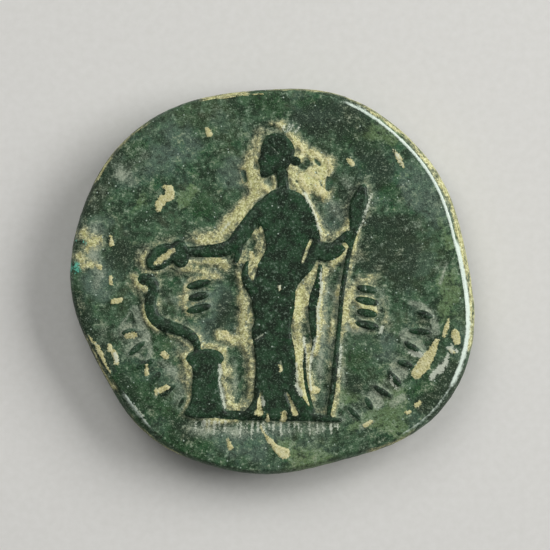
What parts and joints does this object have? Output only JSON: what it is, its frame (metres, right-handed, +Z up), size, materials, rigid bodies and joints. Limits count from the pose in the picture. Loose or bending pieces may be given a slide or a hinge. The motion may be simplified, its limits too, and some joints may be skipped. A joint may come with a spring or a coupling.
{
  "type": "ancient bronze coin",
  "caption": "Worn struck bronze coin with a green-black patina; a standing robed figure pours for a serpent at an altar, earth left in the relief.",
  "frame": {"origin": "under the middle of the flan, on the plane that the worn portrait and the strokes round it rest on", "axes": "+Z up out of the reverse, through the flan; +Y towards the top of the reverse design; +X to the right of the reverse as it is seen"},
  "size_m": [0.0324, 0.031, 0.0042],
  "materials": {
    "patinated_bronze": "satin green-black patina with sandy earth in the hollows"
  },
  "bodies": {
    "root": {"coin": "patinated_bronze"}
  },
  "joints": []
}
